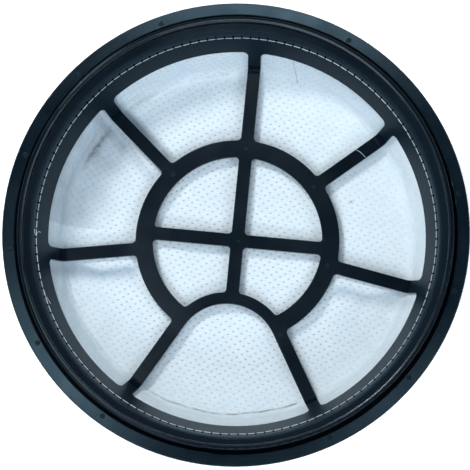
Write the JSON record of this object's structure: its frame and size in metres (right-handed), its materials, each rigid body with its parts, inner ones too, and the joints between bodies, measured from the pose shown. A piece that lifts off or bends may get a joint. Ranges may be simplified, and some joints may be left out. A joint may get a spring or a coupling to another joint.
{
  "type": "vacuum cleaner filter",
  "caption": "Round dish filter for a drum vacuum cleaner: black spoked plastic basket with a flanged rim and a sewn-on white cloth dish.",
  "frame": {"origin": "centre of the underside of the cloth, on the surface the filter lies on", "axes": "+Z along the axis from the cloth to the rim, +Y along the spoke opposite the wide window"},
  "size_m": [0.305, 0.305, 0.0575],
  "materials": {
    "black_plastic": "satin moulded plastic",
    "white_cloth": "dot-embossed non-woven",
    "white_thread": "twisted sewing thread"
  },
  "bodies": {
    "root": {"support_frame": "black_plastic", "filter_cloth": "white_cloth", "seam_thread": "white_thread"}
  },
  "joints": []
}
